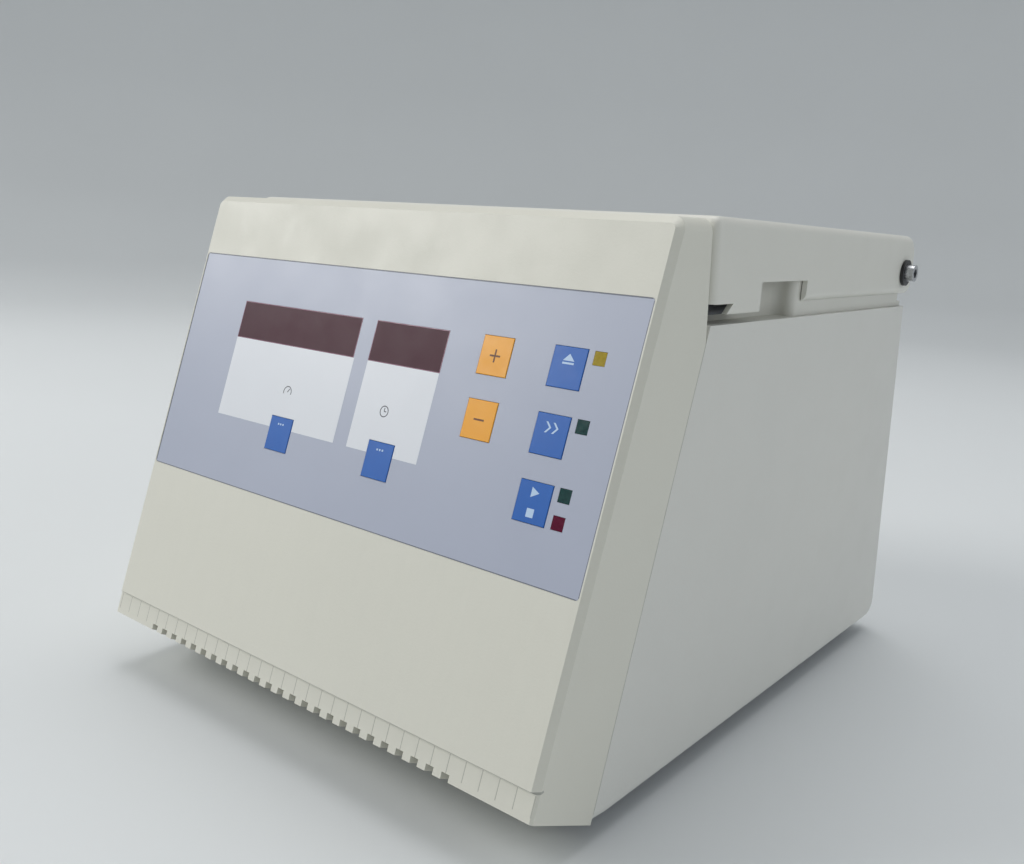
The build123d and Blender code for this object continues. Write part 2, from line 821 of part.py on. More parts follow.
# Motor shaft, with a collar that carries the rotor
shaft_spare = 4.0
shaft_tail = 2.0
with BuildPart() as motor_shaft:
    with BuildSketch(Plane.XY.offset(base_z + motor_bottom - shaft_tail)):
        with Locations((0, chamber_y)):
            Circle(shaft_radius)
    extrude(amount=rotor_bottom + hub_up + nut_height - shaft_spare - motor_bottom + shaft_tail)
    with BuildSketch(Plane.XY.offset(base_z + rotor_bottom)):
        with Locations((0, chamber_y)):
            Circle(collar_radius)
    extrude(amount=-collar_height)
save(motor_shaft, "motor_shaft")

with BuildPart() as rotor_nut:
    with BuildSketch(Plane.XY.offset(base_z + rotor_bottom + hub_up)):
        with Locations((0, chamber_y)):
            Circle(nut_radius)
            with PolarLocations(nut_radius + scallop_radius / 2, scallop_count):
                Circle(scallop_radius, mode=Mode.SUBTRACT)
    extrude(amount=nut_height)
    with BuildSketch(Plane.XY.offset(base_z + rotor_bottom + hub_up)):
        with Locations((0, chamber_y)):
            Circle(shaft_radius + running)
    extrude(amount=nut_height - nut_cap, mode=Mode.SUBTRACT)
save(rotor_nut, "rotor_nut")

# Lid: a shell that caps the raised deck, with a finger notch in each cheek
lid_gap = 1.5
lid_overhang = 14.8
cheek_front_gap = 3.8
cheek_back_gap = 6.3
front_wall_gap = 7.6
notch_rise = 15.1
hook_view = 10.3
hook_view_slant = 4.6
lid_front_round = 4.0
lid_rear_round = 10.5
lid_side_round = 3.5
tab_round = 5.0
rear_wall_gap = 1.0
lid_rear_height = lid_height - lid_fall
lid_back = pivot_along + lid_overhang
cheek_front_up = shoulder + cheek_front_gap
cheek_back_up = shoulder + cheek_back_gap
front_wall_up = shoulder + front_wall_gap
rear_wall_up = pivot_up + rear_wall_gap
notch_middle = (notch_front + notch_back) / 2


def lid_front(up):
    """Where the lid's front lies at a height, a gap behind the bezel's block."""
    return block_along(up) + lid_gap


lid_outline = [
    side(lid_front(cheek_front_up), cheek_front_up),
    side(lid_front(lid_height), lid_height),
    side(lid_back, lid_rear_height),
    side(lid_back, cheek_back_up),
    side(notch_middle, cheek_back_up),
    side(notch_middle, cheek_front_up),
]
with BuildPart() as lid_shell:
    with BuildSketch(Plane.YZ):
        with BuildLine():
            Polyline(lid_outline, close=True)
        make_face()
        fillet(vertices().sort_by_distance(lid_outline[1])[0], radius=lid_front_round)
        fillet(vertices().sort_by_distance(lid_outline[2])[0], radius=lid_rear_round)
        fillet(vertices().sort_by_distance(lid_outline[3])[0], radius=tab_round)
    extrude(amount=half_width, both=True)
    # the front, top and rear edges of both cheeks are rounded in one run
    upper_edges = lid_shell.faces().filter_by(Axis.X).edges().filter_by(
        lambda e: e.center().Z > base_z + cheek_back_up + tab_round - fit
    )
    fillet(upper_edges, radius=lid_side_round)
    # inside
    with BuildSketch(Plane.YZ):
        with BuildLine():
            Polyline(
                side(lid_front(shoulder) + side_wall, shoulder),
                side(lid_front(lid_height) + side_wall, lid_height - side_wall),
                side(lid_back - side_wall, lid_rear_height - side_wall),
                side(lid_back - side_wall, shoulder),
                close=True,
            )
        make_face()
        fillet(
            vertices().sort_by_distance(side(lid_back, lid_rear_height))[0],
            radius=lid_rear_round - side_wall,
        )
    extrude(amount=half_width - side_wall, both=True, mode=Mode.SUBTRACT)
    # the rear wall ends above the pivot, so that it clears the deck when the lid swings up,
    # and the front wall ends above the hooks
    with BuildSketch(Plane.YZ):
        with BuildLine():
            Polyline(
                side(notch_middle, shoulder),
                side(notch_middle, rear_wall_up),
                side(lid_back + side_wall, rear_wall_up),
                side(lid_back + side_wall, shoulder),
                close=True,
            )
        make_face()
        with BuildLine():
            Polyline(
                side(seam_head, shoulder),
                side(seam_head, front_wall_up),
                side(notch_middle, front_wall_up),
                side(notch_middle, shoulder),
                close=True,
            )
        make_face()
    extrude(amount=half_width - side_wall, both=True, mode=Mode.SUBTRACT)
    # finger notches and the gaps in front that show the hooks
    with BuildSketch(Plane.YZ):
        with BuildLine():
            Polyline(
                side(notch_front, shoulder),
                side(notch_front, shoulder + notch_rise),
                side(notch_back, shoulder + notch_rise),
                side(notch_back, shoulder),
                close=True,
            )
        make_face()
        with BuildLine():
            Polyline(
                side(seam_head - lid_gap, front_wall_up),
                side(hook_front + hook_view, front_wall_up),
                side(hook_front + hook_view - hook_view_slant, cheek_front_up),
                side(hook_front + hook_view - hook_view_slant, shoulder),
                side(seam_head - lid_gap, shoulder),
                close=True,
            )
        make_face()
    extrude(amount=half_width, both=True, mode=Mode.SUBTRACT)
    with BuildSketch(Plane.YZ):
        with Locations((pivot_y, pivot_z)):
            Circle(screw_radius + running)
    extrude(amount=half_width, both=True, mode=Mode.SUBTRACT)
save(lid_shell, "lid_shell")

# Inner liner of the lid, with posts up to the lid's top
liner_gap = 3.0
liner_thickness = 2.5
liner_step = 0.3
liner_setback = 11.5
liner_post_inset = 20.0
liner_post_size = 7.0
liner_corner = 4.0
liner_up = deck_top + liner_gap
liner_front = deck_front + liner_step
liner_back = pivot_along - liner_setback
lid_slope = lid_fall / (lid_back - lid_front(lid_height))
with BuildPart() as lid_liner:
    with BuildSketch(Plane.XY.offset(base_z + liner_up)):
        with Locations((0, lip_y + (liner_front + liner_back) / 2)):
            RectangleRounded(2 * deck_half, liner_back - liner_front, liner_corner)
    extrude(amount=liner_thickness)
    for along in (liner_front + liner_post_inset, liner_back - liner_post_inset):
        top_here = lid_height - side_wall - lid_slope * (along - lid_front(lid_height)) - slip
        with BuildSketch(Plane.XY.offset(base_z + liner_up)):
            with Locations((0, lip_y + along)):
                with GridLocations(2 * (deck_half - liner_post_inset), 0, 2, 1):
                    Rectangle(liner_post_size, liner_post_size)
        extrude(amount=top_here - liner_up)
save(lid_liner, "lid_liner")

# Rubber seal under the liner, over the bowl's flange
seal_width = 5.0
seal_gap = 0.3
seal_radius = bowl_radius + bowl_flange / 2
with BuildPart() as lid_seal:
    with BuildSketch(Plane.XY.offset(base_z + deck_top + bowl_gauge + seal_gap)):
        with Locations((0, chamber_y)):
            Circle(seal_radius + seal_width / 2)
            Circle(seal_radius - seal_width / 2, mode=Mode.SUBTRACT)
    extrude(amount=liner_gap - bowl_gauge - seal_gap)
save(lid_seal, "lid_seal")

# Lock hooks: steel plates that hang from the liner's front corners
hook_thickness = 3.0
hook_gap = 2.6
hook_slant = 4.7
hook_length = 21.0
hook_outer = grip_half + hook_gap + hook_thickness
with BuildPart() as lid_hooks:
    for hand in (-1, 1):
        with BuildSketch(Plane.YZ.offset(hand * hook_outer)):
            with BuildLine():
                Polyline(
                    side(hook_front, liner_up),
                    side(hook_front, hook_bottom),
                    side(hook_front + hook_length - hook_slant, hook_bottom),
                    side(hook_front + hook_length, hook_top),
                    side(hook_front + hook_shank, hook_top),
                    side(hook_front + hook_shank, liner_up),
                    close=True,
                )
            make_face()
        extrude(amount=-hand * hook_thickness)
save(lid_hooks, "lid_hooks")

# Black washers and bright screws outside the cheeks
head_seat = half_width + washer_gap + washer_thickness
with BuildPart() as hinge_washers:
    for hand in (-1, 1):
        with BuildSketch(Plane.YZ.offset(hand * head_seat)):
            with Locations((pivot_y, pivot_z)):
                Circle(washer_radius)
                Circle(screw_radius + running, mode=Mode.SUBTRACT)
        extrude(amount=-hand * washer_thickness)
save(hinge_washers, "hinge_washers")

with BuildPart() as hinge_screws:
    for hand in (-1, 1):
        with BuildSketch(Plane.YZ.offset(hand * (deck_half - ear_thickness))):
            with Locations((pivot_y, pivot_z)):
                Circle(screw_radius)
        extrude(amount=hand * (head_seat - deck_half + ear_thickness))
        with BuildSketch(Plane.YZ.offset(hand * head_seat)):
            with Locations((pivot_y, pivot_z)):
                Circle(head_radius)
        extrude(amount=hand * head_height)
        with BuildSketch(Plane.YZ.offset(hand * (head_seat + head_height))):
            with Locations((pivot_y, pivot_z)):
                RegularPolygon(socket_radius, 6)
        extrude(amount=-hand * socket_depth, mode=Mode.SUBTRACT)
save(hinge_screws, "hinge_screws")

# Lid lock: a flat solenoid on each side under the deck drives a bolt over the hook
solenoid_length = 26.0
solenoid_width = 16.0
solenoid_inset = 6.5
bolt_length = 30.0
bolt_y, bolt_z = side(bolt_along, bolt_up)
with BuildPart() as lock_solenoids:
    for hand in (-1, 1):
        with BuildSketch(Plane.YZ.offset(hand * (grip_half - deck_wall - solenoid_inset))):
            with Locations((bolt_y, bolt_z)):
                Rectangle(solenoid_width, bolt_size + 2 * solenoid_wall)
                Rectangle(bolt_size + 2 * running, bolt_size + 2 * running, mode=Mode.SUBTRACT)
        extrude(amount=-hand * solenoid_length)
save(lock_solenoids, "lock_solenoids")

for bolt_name, hand in (("lock_bolt_left", -1), ("lock_bolt_right", 1)):
    with BuildPart() as lock_bolt:
        with BuildSketch(Plane.YZ.offset(hand * (grip_half - bolt_gap))):
            with Locations((bolt_y, bolt_z)):
                Rectangle(bolt_size, bolt_size)
        extrude(amount=-hand * bolt_length)
    save(lock_bolt, bolt_name)

# Rubber pads on the deck that the closed lid settles on
pad_size = 10.0
pad_inset = 18.5
pad_gap = 0.3
with BuildPart() as lid_pads:
    with BuildSketch(Plane.XY.offset(base_z + deck_top)):
        with Locations((0, lip_y + deck_front + pad_inset)):
            with GridLocations(2 * (grip_half - pad_inset), 0, 2, 1):
                Rectangle(pad_size, pad_size)
    extrude(amount=liner_gap - pad_gap)
save(lid_pads, "lid_pads")

# Mains transformer on the pan between the motor bracket and the pan's flange
transformer_length = 66.0
transformer_height = 56.0
coil_length = 44.0
coil_margin = 12.0
core_inset = 5.0
transformer_gap = 0.9
transformer_step = 64.6
transformer_width = pan_inner - bracket_half - 2 * transformer_gap
transformer_x = (pan_inner + bracket_half) / 2
transformer_y = chamber_y - transformer_step
with BuildPart() as mains_transformer:
    with BuildSketch(Plane.XY.offset(base_z + pan_floor)):
        with Locations((transformer_x, transformer_y)):
            Rectangle(transformer_width - 2 * core_inset, transformer_length)
    extrude(amount=transformer_height)
    with BuildSketch(Plane.XY.offset(base_z + pan_floor + coil_margin)):
        with Locations((transformer_x, transformer_y)):
            Rectangle(transformer_width, coil_length)
    extrude(amount=transformer_height - 2 * coil_margin)
save(mains_transformer, "mains_transformer")

# Power board on four spacers, with two capacitors and a finned heat sink
power_gap = 3.9
power_length = 150.0
spacer_height = 8.0
spacer_size = 5.0
spacer_inset = 4.0
capacitor_radius = 11.0
capacitor_height = 34.0
capacitor_pitch = 26.0
capacitor_step = 39.0
sink_step = 30.0
sink_length = 60.0
sink_height = 26.0
fin_count = 6
fin_pitch = 5.0
fin_thickness = 2.0
power_width = pan_inner - bracket_half - 2 * power_gap
power_x = -(pan_inner + bracket_half) / 2
with BuildPart() as power_board:
    with BuildSketch(Plane.XY.offset(base_z + pan_floor)):
        with Locations((power_x, chamber_y)):
            with GridLocations(
                power_width - 2 * spacer_inset, power_length - 2 * spacer_inset, 2, 2
            ):
                Rectangle(spacer_size, spacer_size)
    extrude(amount=spacer_height)
    with BuildSketch(Plane.XY.offset(base_z + pan_floor + spacer_height)):
        with Locations((power_x, chamber_y)):
            Rectangle(power_width, power_length)
    extrude(amount=board_thickness)
    board_top = base_z + pan_floor + spacer_height + board_thickness
    with BuildSketch(Plane.XY.offset(board_top)):
        with Locations((power_x, chamber_y - capacitor_step)):
            with GridLocations(0, capacitor_pitch, 1, 2):
                Circle(capacitor_radius)
    extrude(amount=capacitor_height)
    with BuildSketch(Plane.XY.offset(board_top)):
        with Locations((power_x, chamber_y + sink_step)):
            with GridLocations(fin_pitch, 0, fin_count, 1):
                Rectangle(fin_thickness, sink_length)
            Rectangle(fin_pitch * fin_count, 2 * fin_thickness)
    extrude(amount=sink_height)
save(power_board, "power_board")

# Mains inlet in the rear wall, with three blades
inlet_flange = (31.0, 24.0)
inlet_depth = 22.0
flange_thickness = 2.0
socket_size = (24.0, 16.5)
socket_reach = 16.0
blade_length = 10.0
blade_pitch = 7.0
blade_drop = 2.0
blade_size = (2.0, 4.0)
with BuildPart() as mains_inlet:
    with BuildSketch(rear):
        with Locations(inlet_place):
            Rectangle(*inlet_flange)
    extrude(amount=flange_thickness)
    with BuildSketch(rear):
        with Locations(inlet_place):
            Rectangle(inlet_cutout[0] - 2 * fit, inlet_cutout[1] - 2 * fit)
    extrude(amount=-inlet_depth)
    with BuildSketch(rear.offset(flange_thickness)):
        with Locations(inlet_place):
            Rectangle(*socket_size)
    extrude(amount=-socket_reach - flange_thickness, mode=Mode.SUBTRACT)
    with BuildSketch(rear.offset(-socket_reach)):
        with Locations(inlet_place):
            with Locations((-blade_pitch, -blade_drop), (0, blade_drop), (blade_pitch, -blade_drop)):
                Rectangle(*blade_size)
    extrude(amount=blade_length)
save(mains_inlet, "mains_inlet")

# Mains switch: a frame in the rear wall and the rocker that turns on two pins in it
frame_flange = (23.0, 17.0)
frame_depth = 16.0
well_size = (16.0, 10.4)
well_depth = 7.0
rocker_gap = 0.4
rocker_tip = 8.0
rocker_half = 6.9
rocker_rise = 3.2
rocker_dip = 1.6
rocker_keel = 2.2
pin_radius = 1.0
pin_reach = 1.0
rocker_plane = Plane(
    origin=rear.from_local_coords((switch_place[0], switch_place[1], 0.0)),
    x_dir=rear.x_dir,
    z_dir=-rear.y_dir,
)
with BuildPart() as switch_frame:
    with BuildSketch(rear):
        with Locations(switch_place):
            Rectangle(*frame_flange)
    extrude(amount=flange_thickness)
    with BuildSketch(rear):
        with Locations(switch_place):
            Rectangle(switch_cutout[0] - 2 * fit, switch_cutout[1] - 2 * fit)
    extrude(amount=-frame_depth)
    with BuildSketch(rear.offset(flange_thickness)):
        with Locations(switch_place):
            Rectangle(*well_size)
    extrude(amount=-well_depth, mode=Mode.SUBTRACT)
    with BuildSketch(rocker_plane):
        Circle(pin_radius + running)
    extrude(amount=well_size[1] / 2 + pin_reach, both=True, mode=Mode.SUBTRACT)
save(switch_frame, "switch_frame")

# The rocker rests tipped to one side, off
with BuildPart() as switch_rocker:
    with BuildSketch(rocker_plane.rotated((0, 0, rocker_tip))):
        with BuildLine():
            Polyline(
                (-rocker_half, -rocker_keel),
                (0, -rocker_rise),
                (rocker_half, -rocker_keel),
                (rocker_half, rocker_rise),
                (0, rocker_dip),
                (-rocker_half, rocker_rise),
                close=True,
            )
        make_face()
    extrude(amount=well_size[1] / 2 - rocker_gap, both=True)
    with BuildSketch(rocker_plane):
        Circle(pin_radius)
    extrude(amount=well_size[1] / 2 + pin_reach - fit, both=True)
save(switch_rocker, "switch_rocker")
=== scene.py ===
from math import cos, pi, radians, sin

import bmesh
import bpy
from mathutils import Matrix, Vector


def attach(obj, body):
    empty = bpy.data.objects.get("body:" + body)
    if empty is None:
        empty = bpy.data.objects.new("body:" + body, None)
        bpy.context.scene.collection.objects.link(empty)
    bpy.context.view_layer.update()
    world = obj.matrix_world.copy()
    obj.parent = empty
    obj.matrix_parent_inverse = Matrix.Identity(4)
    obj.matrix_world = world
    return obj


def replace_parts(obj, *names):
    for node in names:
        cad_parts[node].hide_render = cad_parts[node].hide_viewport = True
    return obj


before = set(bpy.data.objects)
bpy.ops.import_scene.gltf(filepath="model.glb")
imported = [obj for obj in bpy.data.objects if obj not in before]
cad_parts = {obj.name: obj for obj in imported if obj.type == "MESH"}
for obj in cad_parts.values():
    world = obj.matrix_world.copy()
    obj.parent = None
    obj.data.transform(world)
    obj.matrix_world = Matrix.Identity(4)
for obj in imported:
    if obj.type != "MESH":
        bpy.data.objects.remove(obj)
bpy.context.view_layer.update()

mm = 0.001


# Front bezel: one hollow moulding in cream ABS with a fine pebble grain, clipped to the
# housing. Its face leans back, and the lip under it is cut into a row of teeth that let
# the cooling air in. Faint grooves cross the lip at the pitch of the teeth: a dip in the
# relief, darkened with painted shade. Where the face meets the lip runs a painted shadow
# line over a slight dip in the relief.
lip_y = -164.305 * mm
base_z = 8.0 * mm
face_foot = 29.6 * mm
face_lean = radians(18.56)
slot_pitch = 7.77 * mm
slot_shift = -3.2 * mm
lip_reach = 4.0 * mm
groove_half = 0.18 * mm
groove_head, groove_foot = -1.2 * mm, -9.0 * mm
shade_head, shade_foot = 0.1 * mm, -0.9 * mm


class Value:
    """A number or colour that changes over a surface; sums with it add Math nodes."""

    def __init__(self, finish, socket):
        self.finish = finish
        self.socket = socket

    def math(self, operation, first, second=0.0):
        return self.finish.node("ShaderNodeMath", {"operation": operation}, {0: first, 1: second})

    def __add__(self, other):
        return self.math("ADD", self, other)

    def __sub__(self, other):
        return self.math("SUBTRACT", self, other)

    def __rsub__(self, other):
        return self.math("SUBTRACT", other, self)

    def __mul__(self, other):
        return self.math("MULTIPLY", self, other)

    def __truediv__(self, other):
        return self.math("DIVIDE", self, other)

    def __pow__(self, other):
        return self.math("POWER", self, other)

    def __lt__(self, other):
        return self.math("LESS_THAN", self, other)

    def __gt__(self, other):
        return self.math("GREATER_THAN", self, other)

    __radd__ = __add__
    __rmul__ = __mul__


class Finish:
    """A node material with one Principled surface."""

    def __init__(self, name, **constants):
        self.material = bpy.data.materials.new(name)
        self.material.use_nodes = True
        self.tree = self.material.node_tree
        self.surface = self.tree.nodes["Principled BSDF"]
        for socket, value in constants.items():
            self.surface.inputs[socket.replace("_", " ")].default_value = value

    def node(self, kind, settings, sockets, output=0):
        """Adds any node, with its settings and what its sockets get, and gives an output."""
        made = self.tree.nodes.new(kind)
        stops = settings.pop("stops", ())
        for name, value in settings.items():
            setattr(made, name, value)
        for index, (position, level) in enumerate(stops):
            if index > 1:
                made.color_ramp.elements.new(position)
            made.color_ramp.elements[index].position = position
            made.color_ramp.elements[index].color = (level, level, level, 1.0)
        for name, value in sockets.items():
            self.join(value, made.inputs[name])
        return Value(self, made.outputs[output])

    def join(self, value, socket):
        """Links a changing value to a socket, or sets a constant on it."""
        if isinstance(value, Value):
            self.tree.links.new(value.socket, socket)
        else:
            socket.default_value = value

    def wear(self, colour=None, roughness=None, bump=None, depth=0.0):
        """Puts colour, roughness and relief on the surface."""
        if colour:
            self.join(colour, self.surface.inputs["Base Color"])
        if roughness:
            self.join(roughness, self.surface.inputs["Roughness"])
        if bump:
            relief = self.node("ShaderNodeBump", {}, {"Height": bump, "Distance": depth})
            self.join(relief, self.surface.inputs["Normal"])

    def place(self):
        return self.node("ShaderNodeTexCoord", {}, {}, "Object")

    def axes(self, place):
        """The three parts of a place, in metres along X, Y and Z."""
        return [self.node("ShaderNodeSeparateXYZ", {}, {0: place}, axis) for axis in range(3)]

    def noise(self, place, scale, detail=2.0):
        return self.node(
            "ShaderNodeTexNoise", {}, {"Vector": place, "Scale": scale, "Detail": detail}
        )

    def stretched(self, place, factors):
        return self.node(
            "ShaderNodeVectorMath", {"operation": "MULTIPLY"}, {0: place, 1: factors}
        )

    def blend(self, mask, low, high):
        """Goes from one colour to another as the mask goes from 0 to 1."""
        return self.node("ShaderNodeMix", {"data_type": "RGBA"}, {0: mask, 6: low, 7: high}, 2)

    def ramp(self, value, *stops):
        """Maps a value to levels at (position, level) stops."""
        return self.node("ShaderNodeValToRGB", {"stops": stops}, {0: value})


def tone(red, green, blue):
    """A colour as it is seen, each channel from 0 to 255."""
    seen = [channel / 255 for channel in (red, green, blue)]
    return tuple(c / 12.92 if c <= 0.04045 else ((c + 0.055) / 1.055) ** 2.4 for c in seen) + (1.0,)


def moulded(name, colour, other, grain, depth, low, high):
    """Moulded plastic: a grain of some size and depth, uneven in colour and roughness."""
    finish = Finish(name, IOR=1.5)
    place = finish.place()
    broad = finish.noise(place, 9.0, 3.0)
    pebble = finish.node(
        "ShaderNodeTexVoronoi", {"feature": "SMOOTH_F1"}, {"Vector": place, "Scale": 1 / grain}
    )
    fine = finish.noise(place, 2.6 / grain, 2.0)
    relief = pebble * 0.7 + fine * 0.6
    dust = finish.ramp(finish.noise(place, 60.0, 4.0), (0.45, 0.0), (0.75, 1.0))
    mix = broad * 0.75 + relief * 0.25
    finish.wear(finish.blend(mix, colour, other), dust * (high - low) + low, relief, depth)
    return finish


def dress(finish, *nodes):
    """Gives carried-over nodes their finish."""
    for node in nodes:
        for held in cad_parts[node].material_slots:
            held.material = finish.material


def on_face(x, up, out):
    """A point by its place on the sloping face and its height over it."""
    return Vector((
        x,
        lip_y + up * sin(face_lean) - out * cos(face_lean),
        base_z + face_foot + up * cos(face_lean) + out * sin(face_lean),
    ))


def keep(name, form, finish, body, smooth=None):
    """Turns a bmesh into a named piece that rides on a body."""
    bmesh.ops.recalc_face_normals(form, faces=form.faces)
    mesh = bpy.data.meshes.new(name)
    form.to_mesh(mesh)
    form.free()
    mesh.materials.append(finish.material)
    if smooth:
        mesh.shade_smooth()
        mesh.set_sharp_from_angle(angle=radians(smooth))
    piece = bpy.data.objects.new(name, mesh)
    bpy.context.scene.collection.objects.link(piece)
    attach(piece, body)
    return piece


def slab(form, outlines, place, low, high):
    """Adds flat shapes, given by their outlines, as one slab from a low to a high level."""
    faces = []
    for outline in outlines:
        faces.append(form.faces.new([form.verts.new(place(u, v, low)) for u, v in outline]))
    rise = place(0, 0, high) - place(0, 0, low)
    corners = list(dict.fromkeys(corner for face in faces for corner in face.verts))
    bmesh.ops.remove_doubles(form, verts=corners, dist=1e-6)
    faces = [face for face in faces if face.is_valid]
    raised = bmesh.ops.extrude_face_region(form, geom=faces)["geom"]
    bmesh.ops.translate(form, vec=rise, verts=[v for v in raised if isinstance(v, bmesh.types.BMVert)])


def block(u, v, width, height):
    """The outline of an upright rectangle round a middle point."""
    return [
        (u - width / 2, v - height / 2),
        (u + width / 2, v - height / 2),
        (u + width / 2, v + height / 2),
        (u - width / 2, v + height / 2),
    ]


cream = Finish("cream moulding", IOR=1.5)
cream_place = cream.place()
cream_x, cream_y, cream_z = cream.axes(cream_place)
cream_pebble = cream.node(
    "ShaderNodeTexVoronoi", {"feature": "SMOOTH_F1"}, {"Vector": cream_place, "Scale": 1150.0}
)
cream_fine = cream.noise(cream_place, 2900.0, 2.0)
cream_flow = cream.noise(cream.stretched(cream_place, (60.0, 5.0, 5.0)), 5.0, 3.0)
cream_broad = cream.noise(cream_place, 8.0, 3.0)
lip_up = (cream_z - (base_z + face_foot)) / cos(face_lean)
lip_front = cream_y < lip_y + lip_reach
lip_beat = cream.node(
    "ShaderNodeMath",
    {"operation": "PINGPONG"},
    {0: cream_x - (slot_shift + slot_pitch / 2), 1: slot_pitch / 2},
)
# Where the grooves cross the lip; this mask dips the relief and, below, darkens the colour with painted
# shade.
lip_grooves = (
    (lip_up < groove_head) * (lip_up > groove_foot) * lip_front * (lip_beat > slot_pitch / 2 - groove_half)
)
# Painted shadow line where the face overhangs the lip; the same mask also dips the relief a little.
lip_shade = (lip_up < shade_head) * (lip_up > shade_foot) * lip_front
cream_relief = cream_pebble * 0.7 + cream_fine * 0.6 - lip_grooves * 1.2 - lip_shade * 1.5
cream_colour = cream.blend(
    cream_broad * 0.6 + cream_flow * 0.25 + cream_pebble * 0.15, tone(228, 226, 214), tone(218, 217, 206)
)
# Painted shade: the grooves are darkened in colour, as shade would darken them.
cream_with_groove_shade = cream.blend(lip_grooves, cream_colour, tone(186, 185, 175))
cream.wear(
    cream.blend(lip_shade, cream_with_groove_shade, tone(176, 176, 167)),
    cream.ramp(cream.noise(cream_place, 45.0, 4.0), (0.4, 0.42), (0.7, 0.55)),
    cream_relief,
    0.035 * mm,
)
dress(cream, "front_bezel")


# Control panel: polyester film glued into a shallow recess of the bezel, printed from the
# back in lilac grey with a white field under each window. A plain picture stands on each
# field: a dial for the speed and a clock for the time.
panel_level = -0.2 * mm
panel_half = 126.9 * mm
panel_foot, panel_head = 65.95 * mm, 171.25 * mm
set_speed_x, set_time_x = -43.0 * mm, 19.5 * mm
set_key_half, set_key_head = 7.5 * mm, 101.8 * mm
field_foot, field_head = 96.5 * mm, 133.15 * mm
field_ends = ((-88.6 * mm, -8.4 * mm, set_speed_x), (-0.2 * mm, 40.2 * mm, set_time_x))
print_root = 0.05 * mm
field_rise, line_rise, picture_rise = 0.03 * mm, 0.02 * mm, 0.05 * mm

film = Finish("printed film", IOR=1.5, Coat_Weight=0.15, Coat_Roughness=0.3)
film_place = film.place()
film_dots = film.noise(film_place, 1800.0, 2.0)
film_broad = film.noise(film_place, 7.0, 3.0)
film.wear(
    film.blend(film_broad * 0.85 + film_dots * 0.15, tone(181, 187, 204), tone(174, 180, 198)),
    film.ramp(film.noise(film_place, 30.0, 3.0), (0.35, 0.36), (0.7, 0.46)),
    film_dots,
    0.008 * mm,
)
dress(film, "membrane_panel")

white_ink = moulded(
    "white ink", tone(232, 235, 240), tone(226, 229, 236), 0.5 * mm, 0.004 * mm, 0.34, 0.44
)
dark_ink = moulded("dark ink", tone(58, 60, 72), tone(66, 68, 80), 0.4 * mm, 0.003 * mm, 0.4, 0.5)
# Painted shadow: the dark tone of the line along the film's edges, where the bezel's recess shades it.
painted_edge_shadow = moulded(
    "edge shadow", tone(112, 118, 132), tone(122, 128, 142), 0.4 * mm, 0.003 * mm, 0.4, 0.5
)

white_fields = bmesh.new()
for left, right, key_x in field_ends:
    outline = [
        (left, field_foot),
        (key_x - set_key_half, field_foot),
        (key_x - set_key_half, set_key_head),
        (key_x + set_key_half, set_key_head),
        (key_x + set_key_half, field_foot),
        (right, field_foot),
        (right, field_head),
        (left, field_head),
    ]
    slab(white_fields, [outline], on_face, panel_level - print_root, panel_level + field_rise)
keep("panel_white_fields", white_fields, white_ink, "base")

# Painted shadow along the film's edges. It is wider at the top and left than at the bottom and right, as the
# recess's edge shades it.
panel_edge = bmesh.new()
edge_line = 0.45 * mm
thin_line = 0.6 * edge_line
corner_gap = 1.0 * mm
edge_across = 2 * (panel_half - corner_gap)
edge_along = panel_head - panel_foot - 2 * corner_gap
panel_middle = (panel_foot + panel_head) / 2
slab(
    panel_edge,
    [
        block(0, panel_head - edge_line / 2, edge_across, edge_line),
        block(0, panel_foot + edge_line / 2, edge_across, thin_line),
        block(-panel_half + edge_line / 2, panel_middle, edge_line, edge_along),
        block(panel_half - edge_line / 2, panel_middle, thin_line, edge_along),
    ],
    on_face,
    panel_level - print_root,
    panel_level + line_rise,
)
keep("panel_edge_shadow_line", panel_edge, painted_edge_shadow, "base")


def arc(u, v, outer, inner, start, end, steps):
    """The quads of a flat ring, or of part of it, between two angles in degrees."""
    quads = []
    for step in range(steps):
        one = radians(start + (end - start) * step / steps)
        two = radians(start + (end - start) * (step + 1) / steps)
        quads.append([
            (u + outer * cos(one), v + outer * sin(one)),
            (u + outer * cos(two), v + outer * sin(two)),
            (u + inner * cos(two), v + inner * sin(two)),
            (u + inner * cos(one), v + inner * sin(one)),
        ])
    return quads


def turned(outline, u, v, angle):
    """An outline turned about a point."""
    c, s = cos(radians(angle)), sin(radians(angle))
    return [(u + (x - u) * c - (y - v) * s, v + (x - u) * s + (y - v) * c) for x, y in outline]


pictures = bmesh.new()
dial_x, dial_up = -44.4 * mm, 113.0 * mm
needle_turn = 52
needle = block(dial_x + 1.0 * mm, dial_up, 2.0 * mm, 0.4 * mm)
dial = arc(dial_x, dial_up, 2.7 * mm, 2.3 * mm, -20, 200, 24)
dial.append(turned(needle, dial_x, dial_up, needle_turn))
slab(pictures, dial, on_face, panel_level, panel_level + picture_rise)
clock_x, clock_up, hand = 16.3 * mm, 114.0 * mm, 0.35 * mm
clock = arc(clock_x, clock_up, 2.4 * mm, 2.0 * mm, 0, 360, 32)
clock.append(block(clock_x, clock_up + 0.75 * mm, hand, 1.5 * mm))
clock.append(block(clock_x + 0.6 * mm, clock_up, 1.2 * mm, hand))
slab(pictures, clock, on_face, panel_level, panel_level + picture_rise)
keep("panel_pictures", pictures, dark_ink, "base")


# Display windows: satin sheets of dark red acrylic, set flush in the film, each framed by a
# painted highlight along its cut edges. The digits behind them are off, so that they look a
# deep wine red.
tint = Finish("dark red acrylic", IOR=1.3, Coat_Weight=0.1, Coat_Roughness=0.3)
tint_place = tint.place()
tint.wear(
    tint.blend(tint.noise(tint_place, 22.0, 2.0), tone(58, 0, 28), tone(68, 2, 34)),
    tint.ramp(tint.noise(tint_place, 90.0, 4.0), (0.4, 0.42), (0.8, 0.52)),
    tint.noise(tint_place, 350.0, 1.0),
    0.004 * mm,
)
dress(tint, "speed_window", "time_window")
